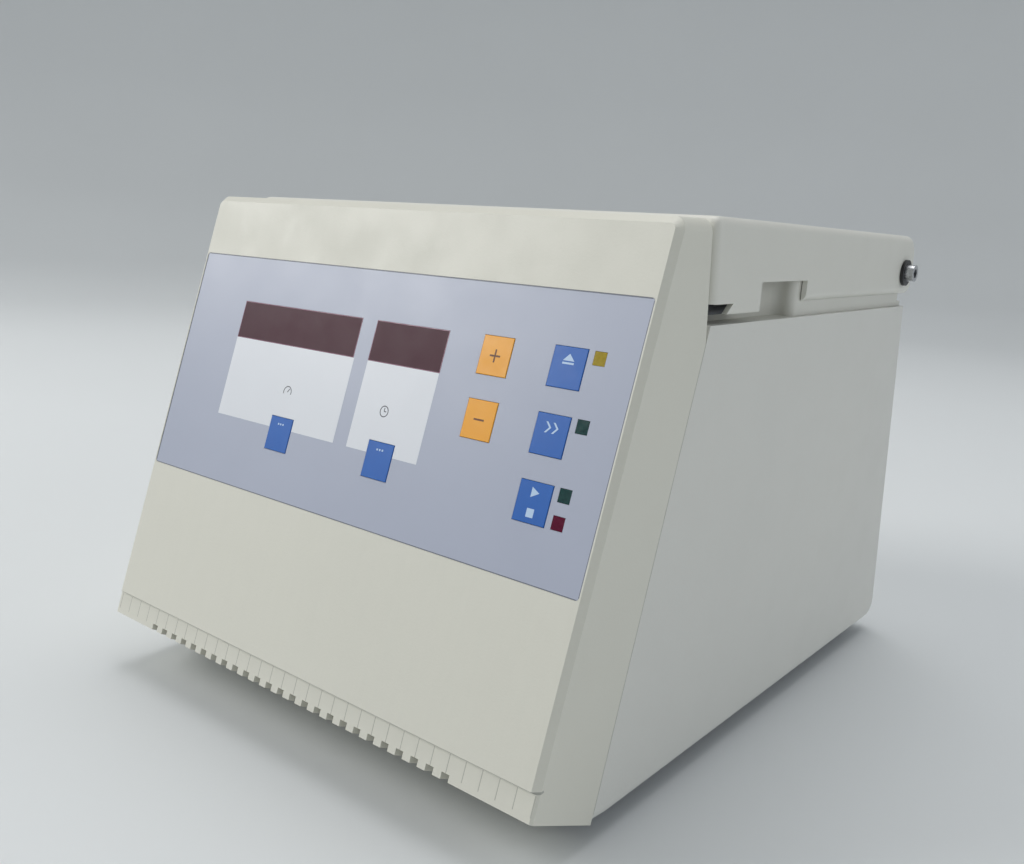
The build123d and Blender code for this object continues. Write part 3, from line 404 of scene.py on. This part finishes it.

# Painted highlight: a paler copy of the window's red stands in for light caught on the cut edges.
painted_window_highlight = Finish("painted edge highlight", IOR=1.49)
window_edge_place = painted_window_highlight.place()
painted_window_highlight.wear(
    painted_window_highlight.blend(painted_window_highlight.noise(window_edge_place, 200.0), tone(150, 92, 122), tone(128, 74, 104)),
    painted_window_highlight.ramp(painted_window_highlight.noise(window_edge_place, 300.0), (0.4, 0.2), (0.7, 0.35)),
)
# A thin frame of painted highlight round each window.
rims = bmesh.new()
speed_window, time_window = (-48.75 * mm, 79.5 * mm), (20.05 * mm, 40.5 * mm)
window_up, window_height, rim = 141.75 * mm, 17.1 * mm, 0.28 * mm
for middle, width in (speed_window, time_window):
    across, along = (width - rim) / 2, (window_height - rim) / 2
    slab(
        rims,
        [
            block(middle, window_up + along, width, rim),
            block(middle, window_up - along, width, rim),
            block(middle - across, window_up, rim, window_height - 2 * rim),
            block(middle + across, window_up, rim, window_height - 2 * rim),
        ],
        on_face,
        panel_level - print_root,
        panel_level + line_rise,
    )
keep("window_edge_highlights", rims, painted_window_highlight, "base")


# Digit displays: black seven-segment blocks on the board behind the windows. Their bars
# look pale while they are off.
black_block = moulded(
    "display black", tone(26, 24, 26), tone(34, 32, 34), 0.5 * mm, 0.01 * mm, 0.35, 0.5
)
dress(black_block, "digit_displays")
unlit = moulded(
    "unlit segment", tone(120, 96, 100), tone(136, 110, 114), 0.5 * mm, 0.01 * mm, 0.4, 0.5
)
segments = bmesh.new()
digit_level, digit_pitch = -3.85 * mm, 11.0 * mm
segment_root, segment_rise = 0.1 * mm, 0.05 * mm
bar, bar_length, post_length = 0.9 * mm, 4.4 * mm, 3.0 * mm
bar_step, post_step, post_across = 4.0 * mm, 2.0 * mm, 2.7 * mm
for (middle, _), digits in ((speed_window, 5), (time_window, 3)):
    for index in range(digits):
        x = middle + (index - (digits - 1) / 2) * digit_pitch
        bars = [block(x, window_up + step * bar_step, bar_length, bar) for step in (-1, 0, 1)]
        for across in (-post_across, post_across):
            for step in (-post_step, post_step):
                bars.append(block(x + across, window_up + step, bar, post_length))
        slab(segments, bars, on_face, digit_level - segment_root, digit_level + segment_rise)
keep("digit_segments", segments, unlit, "base")


# Keys: caps moulded in coloured plastic, each with a printed mark. The two amber keys
# carry plus and minus; the marks of the blue keys stand for lid, fast run, run and set.
def key_plastic(name, colour, other):
    """Coloured satin plastic of a key cap, a little cloudy from use."""
    finish = Finish(name, IOR=1.5, Coat_Weight=0.2, Coat_Roughness=0.25)
    place = finish.place()
    cloud = finish.noise(place, 120.0, 3.0)
    fine = finish.noise(place, 2400.0, 2.0)
    finish.wear(
        finish.blend(cloud * 0.8 + fine * 0.2, colour, other),
        finish.ramp(finish.noise(place, 160.0, 4.0), (0.35, 0.34), (0.75, 0.5)),
        fine,
        0.008 * mm,
    )
    return finish


amber = key_plastic("amber key", tone(247, 172, 12), tone(240, 160, 8))
blue = key_plastic("blue key", tone(0, 100, 190), tone(0, 90, 178))
dress(amber, "key_plus", "key_minus")
dress(blue, "key_lid", "key_quick_run", "key_start_stop", "key_set_speed", "key_set_time")

brown_ink = moulded("brown ink", tone(96, 50, 8), tone(108, 58, 12), 0.4 * mm, 0.003 * mm, 0.4, 0.5)
pale_ink = moulded(
    "pale ink", tone(196, 220, 246), tone(184, 210, 240), 0.4 * mm, 0.003 * mm, 0.4, 0.5
)
key_level, mark_root, mark_rise = 0.05 * mm, 0.02 * mm, 0.03 * mm
set_row, key_pitch = 94.1 * mm, 24.6 * mm
key_rows = (set_row + 2 * key_pitch, set_row + key_pitch, set_row)
sign_x, run_x = 65.4 * mm, 98.6 * mm
stroke, stroke_length = 0.7 * mm, 5.0 * mm


def printed(name, outlines, finish, key):
    """A mark printed on a key's top."""
    mark = bmesh.new()
    slab(mark, outlines, on_face, key_level - mark_root, key_level + mark_rise)
    keep(name, mark, finish, key)


arm = (stroke_length - stroke) / 2
plus = [
    block(sign_x, key_rows[0], stroke, stroke_length),
    block(sign_x - (stroke + arm) / 2, key_rows[0], arm, stroke),
    block(sign_x + (stroke + arm) / 2, key_rows[0], arm, stroke),
]
minus = [block(sign_x, key_rows[1], stroke_length, stroke)]
printed("mark_plus", plus, brown_ink, "key_plus")
printed("mark_minus", minus, brown_ink, "key_minus")

lid_up = key_rows[0] + 3.0 * mm
lid_mark = [
    block(run_x, lid_up - 1.5 * mm, stroke_length, stroke),
    [
        (run_x - stroke_length / 2, lid_up - 0.6 * mm),
        (run_x + stroke_length / 2, lid_up - 0.6 * mm),
        (run_x, lid_up + 2.0 * mm),
    ],
]
printed("mark_lid", lid_mark, pale_ink, "key_lid")

quick_up = key_rows[1] + 2.6 * mm
quick_mark = []
for step in (-2.2 * mm, 1.0 * mm):
    x = run_x + step
    quick_mark.append([
        (x - 0.6 * mm, quick_up - 2.0 * mm),
        (x + 0.3 * mm, quick_up - 2.0 * mm),
        (x + 2.1 * mm, quick_up),
        (x + 0.3 * mm, quick_up + 2.0 * mm),
        (x - 0.6 * mm, quick_up + 2.0 * mm),
        (x + 1.2 * mm, quick_up),
    ])
printed("mark_quick_run", quick_mark, pale_ink, "key_quick_run")

start_up, stop_up = key_rows[2] + 3.6 * mm, key_rows[2] - 3.8 * mm
start_mark = [
    [
        (run_x - 1.5 * mm, start_up - 1.9 * mm),
        (run_x + 2.0 * mm, start_up),
        (run_x - 1.5 * mm, start_up + 1.9 * mm),
    ],
    block(run_x, stop_up, 3.2 * mm, 3.2 * mm),
]
printed("mark_start_stop", start_mark, pale_ink, "key_start_stop")

dots_up, dot_pitch, dot = key_rows[2] + 4.4 * mm, 1.5 * mm, 0.8 * mm
for name, x in (("speed", set_speed_x), ("time", set_time_x)):
    dots = [block(x + step * dot_pitch, dots_up, dot, dot) for step in (-1, 0, 1)]
    printed(f"mark_set_{name}", dots, pale_ink, f"key_set_{name}")


# Lamps: light pipes of tinted acrylic, pressed through the bezel and cut square and flush
# with the film. All of them are unlit.
def lens(name, colour, other):
    """Tinted acrylic with a faint prism pattern inside."""
    finish = Finish(name, IOR=1.35, Coat_Weight=0.1, Coat_Roughness=0.3)
    place = finish.place()
    prisms = finish.node(
        "ShaderNodeTexVoronoi", {"feature": "F1", "distance": "CHEBYCHEV"}, {"Vector": place, "Scale": 900.0}
    )
    finish.wear(
        finish.blend(prisms * 0.9 + finish.noise(place, 500.0) * 0.3, colour, other),
        finish.ramp(finish.noise(place, 400.0), (0.4, 0.14), (0.7, 0.26)),
        prisms,
        0.015 * mm,
    )
    return finish


dress(lens("yellow lens", tone(150, 128, 26), tone(176, 154, 44)), "lamp_yellow")
dress(lens("green lens", tone(20, 52, 52), tone(34, 74, 72)), "lamps_green")
dress(lens("red lens", tone(78, 0, 34), tone(104, 8, 50)), "lamp_red")


# Boards: glass-fibre boards under a green solder mask that shows the copper runs faintly.
# The one behind the keys has a push switch for each of them.
solder_mask = Finish("solder mask", IOR=1.5, Coat_Weight=0.4, Coat_Roughness=0.15)
mask_place = solder_mask.place()
runs = solder_mask.node(
    "ShaderNodeTexVoronoi", {"feature": "F1", "distance": "MANHATTAN"}, {"Vector": mask_place, "Scale": 160.0}
)
run_edges = solder_mask.ramp(runs, (0.4, 0.0), (0.45, 1.0))
solder_mask.wear(
    solder_mask.blend(run_edges, tone(18, 96, 56), tone(34, 120, 70)),
    solder_mask.ramp(solder_mask.noise(mask_place, 300.0), (0.3, 0.25), (0.8, 0.45)),
    run_edges,
    0.02 * mm,
)
dress(solder_mask, "control_board", "power_board")


# Housing: both sides, the rear wall and the deck's rails in one moulding. Its cream is a
# little cooler than the bezel's.
side_cream = moulded(
    "housing cream", tone(226, 225, 218), tone(217, 217, 212), 0.85 * mm, 0.04 * mm, 0.42, 0.56
)
dress(side_cream, "housing")


# Base pan: zinc-plated sheet steel, folded up at both sides and held from below by six
# pan-head screws.
def metal(name, colour, other, low, high, stretch, depth):
    """Metal with fine lines; the stretch says how fine they are along each axis."""
    finish = Finish(name, Metallic=1.0)
    place = finish.place()
    lines = finish.noise(finish.stretched(place, stretch), 1.0, 3.0)
    cloud = finish.noise(place, 25.0, 3.0)
    finish.wear(
        finish.blend(lines * 0.6 + cloud * 0.4, colour, other),
        finish.ramp(lines * 0.6 + cloud * 0.4, (0.35, low), (0.7, high)),
        lines,
        depth,
    )
    return finish


zinc = metal(
    "zinc plate", tone(176, 180, 184), tone(150, 154, 160), 0.32, 0.5, (60.0, 900.0, 60.0), 0.01 * mm
)
dress(zinc, "base_pan", "motor_bracket")

bright = metal(
    "bright steel", tone(206, 207, 210), tone(180, 182, 186), 0.2, 0.36, (1500.0, 1500.0, 200.0), 0.005 * mm
)


def upright(x, y, level, way=1):
    """Places a turned form on a point, standing (way 1) or hanging (way -1)."""
    return lambda u, v, w: Vector((x + u, y + way * v, level + way * w))


def lathe(form, profile, place, steps):
    """Turns a profile of (radius, level) pairs about a local axis. It closes at radius 0."""
    rings = []
    for radius, level in profile:
        if radius == 0:
            rings.append([form.verts.new(place(0, 0, level))])
            continue
        turns = [2 * pi * step / steps for step in range(steps)]
        rings.append([form.verts.new(place(radius * cos(t), radius * sin(t), level)) for t in turns])
    for low, high in zip(rings, rings[1:]):
        for step in range(steps):
            after = (step + 1) % steps
            if len(low) == 1:
                form.faces.new([low[0], high[after], high[step]])
            elif len(high) == 1:
                form.faces.new([low[step], low[after], high[0]])
            else:
                form.faces.new([low[step], low[after], high[after], high[step]])


pan_screws = bmesh.new()
pan_level, pan_screw_x = 8.6 * mm, 112.0 * mm
pan_screw_profile = [
    (radius * mm, level * mm)
    for radius, level in (
        (0, 0.9), (0.5, 0.9), (0.9, 1.7), (2.2, 1.6), (3.0, 1.1), (3.2, 0.5), (3.2, -0.3), (0, -0.3),
    )
]
for x in (-pan_screw_x, pan_screw_x):
    for y in (-80.0 * mm, 10.0 * mm, 120.0 * mm):
        lathe(pan_screws, pan_screw_profile, upright(x, y, pan_level, -1), 24)
keep("pan_screws", pan_screws, bright, "base", smooth=35)


# Rubber feet: round bumpers of black rubber with a soft edge. Each is held to the pan by a
# screw deep in its recess.
rubber = Finish("black rubber", IOR=1.52)
rubber_place = rubber.place()
rubber_grain = rubber.noise(rubber_place, 1500.0, 3.0)
rubber.wear(
    rubber.blend(rubber.noise(rubber_place, 80.0, 4.0), tone(30, 30, 31), tone(52, 52, 54)),
    rubber.ramp(rubber.noise(rubber_place, 200.0), (0.35, 0.7), (0.7, 0.88)),
    rubber_grain,
    0.03 * mm,
)
feet = bmesh.new()
foot_screws = bmesh.new()
foot_profile = [
    (radius * mm, level * mm)
    for radius, level in (
        (0, 3.2), (4.0, 3.2), (4.4, 0.9), (5.2, 0.1), (9.6, 0), (10.4, 0.25), (10.9, 0.9),
        (11.0, 2.2), (11.0, 8.2), (10.6, 8.6), (0, 8.6),
    )
]
foot_screw_profile = [
    (radius * mm, level * mm)
    for radius, level in ((0, 2.6), (0.7, 2.6), (1.1, 1.7), (2.6, 1.8), (3.2, 2.3), (3.3, 3.4), (0, 3.4))
]
foot_x = 95.0 * mm
for x in (-foot_x, foot_x):
    for along in (62.0 * mm, 285.01 * mm):
        foot_place = upright(x, lip_y + along, 0)
        lathe(feet, foot_profile, foot_place, 48)
        lathe(foot_screws, foot_screw_profile, foot_place, 24)
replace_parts(keep("feet_turned", feet, rubber, "base", smooth=35), "rubber_feet")
keep("foot_screws", foot_screws, bright, "base", smooth=35)


# Deck: the raised tray that carries the chamber, moulded in cream with a finer grain and
# laid on the rails of the housing.
deck_cream = moulded(
    "deck cream", tone(222, 221, 212), tone(213, 212, 204), 0.6 * mm, 0.02 * mm, 0.38, 0.5
)
dress(deck_cream, "deck")


# Chamber bowl: spun stainless steel, so that its fine lines run round the shaft. The boot
# round the shaft, the motor's mounts, the lid's seal and its pads are black rubber.
chamber_y = 28.291 * mm


def lines_round(finish, place, scale, detail):
    """Fine lines round the shaft, as a tool leaves them on turning or spun metal."""
    x, y, z = finish.axes(place)
    y = y - chamber_y
    reach = (x * x + y * y) ** 0.5 + z
    return finish.node(
        "ShaderNodeTexNoise", {"noise_dimensions": "1D"}, {"W": reach, "Scale": scale, "Detail": detail}
    )


spun = Finish("spun steel", Metallic=1.0)
spun_place = spun.place()
spun_lines = lines_round(spun, spun_place, 2600.0, 3.0)
spun_cloud = spun.noise(spun_place, 30.0, 3.0)
spun.wear(
    spun.blend(spun_lines * 0.6 + spun_cloud * 0.4, tone(196, 198, 200), tone(168, 170, 174)),
    spun.ramp(spun_lines * 0.7 + spun_cloud * 0.3, (0.35, 0.2), (0.7, 0.38)),
    spun_lines,
    0.012 * mm,
)
dress(spun, "chamber_bowl")
dress(rubber, "shaft_boot", "motor_mounts", "lid_seal", "lid_pads")


# Motor: its can is painted black and hangs on rubber mounts under a bracket. The solenoids
# of the lid lock are painted alike; shaft, bearings and lock bolts are bright steel.
motor_paint = moulded("motor paint", tone(34, 35, 38), tone(46, 47, 50), 0.9 * mm, 0.03 * mm, 0.35, 0.5)
dress(motor_paint, "motor_housing", "lock_solenoids")
dress(bright, "motor_bearings", "motor_shaft", "lock_bolt_left", "lock_bolt_right")


# Rotor: a turned aluminium cone with twelve tube bores at 45 degrees, clear anodised, its
# places numbered from one to twelve round the hub, under a nut with finger scallops.
anodised = Finish("anodised aluminium", Metallic=1.0)
anodised_place = anodised.place()
turning = lines_round(anodised, anodised_place, 3800.0, 2.0)
anodised_cloud = anodised.noise(anodised_place, 35.0, 3.0)
anodised.wear(
    anodised.blend(turning * 0.5 + anodised_cloud * 0.5, tone(178, 181, 186), tone(156, 159, 165)),
    anodised.ramp(turning * 0.5 + anodised_cloud * 0.5, (0.35, 0.3), (0.7, 0.46)),
    turning,
    0.01 * mm,
)
dress(anodised, "rotor")
dress(bright, "rotor_nut")

rotor_places = 12
rotor_up, hub_height = 132.02 * mm, 28.03 * mm
hub_level = base_z + rotor_up + hub_height
number_reach, number_height, number_half = 27.5 * mm, 6.0 * mm, 0.04 * mm
engraved = moulded("engraved black", tone(30, 31, 34), tone(40, 41, 44), 0.3 * mm, 0.003 * mm, 0.45, 0.6)
numbers = bmesh.new()
for index in range(rotor_places):
    writing = bpy.data.curves.new(f"number_{index + 1}", "FONT")
    writing.body = str(index + 1)
    writing.size = number_height
    writing.extrude = number_half
    writing.align_x = "CENTER"
    writing.align_y = "CENTER"
    writing.resolution_u = 3
    shown = bpy.data.objects.new(f"number_{index + 1}", writing)
    flat = bpy.data.meshes.new_from_object(shown)
    turn = 2 * pi * (index + 0.5) / rotor_places
    middle = Vector((number_reach * cos(turn), chamber_y + number_reach * sin(turn), hub_level))
    flat.transform(Matrix.Translation(middle) @ Matrix.Rotation(turn - pi / 2, 4, "Z"))
    numbers.from_mesh(flat)
    bpy.data.objects.remove(shown)
    bpy.data.curves.remove(writing)
    bpy.data.meshes.remove(flat)
keep("rotor_numbers", numbers, engraved, "rotor")


# Lid: a shell in a cream close to the bezel's over a liner in the deck's cream, with a dark
# steel hook at each front corner. It turns on two shouldered screws at its rear corners.
lid_cream = moulded(
    "lid cream", tone(228, 227, 218), tone(219, 218, 210), 0.85 * mm, 0.04 * mm, 0.4, 0.54
)
dress(lid_cream, "lid_shell")
dress(deck_cream, "lid_liner")

hook_metal = metal(
    "hook steel", tone(96, 97, 100), tone(74, 75, 78), 0.3, 0.48, (200.0, 200.0, 900.0), 0.01 * mm
)
dress(hook_metal, "lid_hooks")


# Pivots: a black washer and a bright steel screw outside each cheek of the lid, which
# turns on the screws.
washer_black = moulded("washer black", tone(22, 22, 23), tone(34, 34, 36), 0.5 * mm, 0.01 * mm, 0.3, 0.45)
dress(washer_black, "hinge_washers")
dress(bright, "hinge_screws")


# Transformer: a laminated core in brown varnish round its coil. It stands on the base pan
# beside the motor's bracket.
varnish = metal(
    "varnished core", tone(84, 76, 70), tone(60, 54, 50), 0.4, 0.6, (40.0, 40.0, 2000.0), 0.05 * mm
)
dress(varnish, "mains_transformer")


# Mains inlet and switch: glossy black mouldings snapped into the rear wall. The blades
# are plated, and the rocker carries the usual strokes for on and off.
rear_tilt = radians(7.65)
rear_y = -lip_y


def on_rear(u, v, out):
    """A point by its place on the leaning rear wall and its height over it."""
    return Vector((
        -u,
        rear_y - v * sin(rear_tilt) + out * cos(rear_tilt),
        base_z + v * cos(rear_tilt) + out * sin(rear_tilt),
    ))


gloss_black = moulded("gloss black", tone(20, 20, 21), tone(30, 30, 31), 0.7 * mm, 0.008 * mm, 0.22, 0.36)
dress(gloss_black, "mains_inlet", "switch_frame")
blades = bmesh.new()
inlet_u, inlet_v = -70.0 * mm, 46.0 * mm
blade_root, blade_tip = -15.9 * mm, -5.8 * mm
for across, drop in ((-7.0 * mm, -2.0 * mm), (0, 2.0 * mm), (7.0 * mm, -2.0 * mm)):
    u, v = inlet_u + across, inlet_v + drop
    slab(blades, [block(u, v, 2.3 * mm, 4.3 * mm)], on_rear, blade_root, blade_tip)
    near_tip = on_rear(u, v, blade_tip - 0.4 * mm).y
    tips = [edge for edge in blades.edges if min(end.co.y for end in edge.verts) > near_tip]
    bmesh.ops.bevel(blades, geom=tips, offset=0.6 * mm, segments=2, affect="EDGES")
keep("inlet_blades", blades, bright, "base")

rocker_black = Finish("rocker black", IOR=1.5, Coat_Weight=0.3, Coat_Roughness=0.1)
rocker_place = rocker_black.place()
rocker_black.wear(
    rocker_black.blend(rocker_black.noise(rocker_place, 90.0), tone(24, 24, 25), tone(36, 36, 38)),
    rocker_black.ramp(rocker_black.noise(rocker_place, 250.0), (0.35, 0.2), (0.7, 0.34)),
)
dress(rocker_black, "switch_rocker")
switch_u, switch_v = -26.0 * mm, 46.0 * mm
rocker_tip = radians(8.0)
rocker_half, rocker_rise, rocker_dip = 6.9 * mm, 1.6 * mm, 1.6 * mm
stroke_root, stroke_rise = -0.05 * mm, 0.06 * mm


def on_rocker(u, v, out):
    """A point by its place across and along the rocker's two sloping halves."""
    level = rocker_rise + rocker_dip * abs(v) / rocker_half + out
    along = v * cos(rocker_tip) + level * sin(rocker_tip)
    rise = level * cos(rocker_tip) - v * sin(rocker_tip)
    return on_rear(switch_u + u, switch_v + along, rise)


strokes = bmesh.new()
slab(strokes, [block(0, 4.0 * mm, 0.7 * mm, 3.2 * mm)], on_rocker, stroke_root, stroke_rise)
slab(strokes, arc(0, -4.0 * mm, 1.7 * mm, 1.1 * mm, 0, 360, 32), on_rocker, stroke_root, stroke_rise)
white_strokes = moulded(
    "switch strokes", tone(226, 226, 224), tone(216, 216, 214), 0.4 * mm, 0.003 * mm, 0.4, 0.5
)
keep("switch_strokes", strokes, white_strokes, "rocker")


# Setting: a pale dish that is floor and backdrop in one, three soft lamps over it, and the
# camera where the photographer stood, at the front right and level with the lid's top.
paper = Finish("pale paper", Roughness=0.85)
paper_place = paper.place()
paper.wear(
    paper.blend(paper.noise(paper_place, 2.0, 3.0), tone(224, 227, 228), tone(220, 223, 224)),
    bump=paper.noise(paper_place, 900.0, 2.0),
    depth=0.02 * mm,
)
dish = bmesh.new()
lathe(
    dish,
    [(0, 0), (2.0, 0), (2.6, 0.05), (3.1, 0.25), (3.5, 0.65), (3.75, 1.2), (3.85, 2.0), (3.85, 4.0)],
    upright(0, 0, 0),
    96,
)
bmesh.ops.recalc_face_normals(dish, faces=dish.faces)
dish_mesh = bpy.data.meshes.new("backdrop_dish")
dish.to_mesh(dish_mesh)
dish.free()
dish_mesh.materials.append(paper.material)
dish_mesh.shade_smooth()
backdrop = bpy.data.objects.new("backdrop_dish", dish_mesh)
bpy.context.scene.collection.objects.link(backdrop)


def lamp(name, place, target, size, power, colour):
    """A soft square lamp that looks at a point."""
    light = bpy.data.lights.new(name, "AREA")
    light.shape = "SQUARE"
    light.size = size
    light.energy = power
    light.color = colour
    holder = bpy.data.objects.new(name, light)
    holder.location = place
    holder.rotation_euler = (Vector(target) - Vector(place)).to_track_quat("-Z", "Y").to_euler()
    bpy.context.scene.collection.objects.link(holder)


lamp("lamp_front", (-1.9, -1.5, 1.5), (0, 0, 0.1), 1.2, 34.0, (1.0, 0.985, 0.96))
lamp("lamp_over", (-0.2, 0.5, 2.3), (0, 0, 0.1), 1.6, 20.0, (1.0, 1.0, 1.0))
lamp("lamp_side", (2.2, 0.9, 1.0), (0, 0, 0.1), 1.2, 7.0, (0.93, 0.95, 1.0))

sky = bpy.data.worlds.new("pale surroundings")
sky.use_nodes = True
surroundings = sky.node_tree.nodes["Background"]
surroundings.inputs["Color"].default_value = tone(236, 240, 244)
surroundings.inputs["Strength"].default_value = 0.4
bpy.context.scene.world = sky

view = bpy.data.cameras.new("camera")
view.sensor_width = 36.0
view.lens = 34.80
view.shift_y = 0.0469
view.clip_start = 0.01
camera = bpy.data.objects.new("camera", view)
heading, pitch, roll = radians(38.3938), radians(-14.7874), radians(2.9375)
camera.matrix_world = (
    Matrix.Translation((0.30117, -0.40224, 0.22330))
    @ Matrix.Rotation(heading, 4, "Z")
    @ Matrix.Rotation(pi / 2 + pitch, 4, "X")
    @ Matrix.Rotation(roll, 4, "Z")
)
bpy.context.scene.collection.objects.link(camera)
bpy.context.scene.camera = camera
bpy.context.scene.view_settings.view_transform = "Standard"
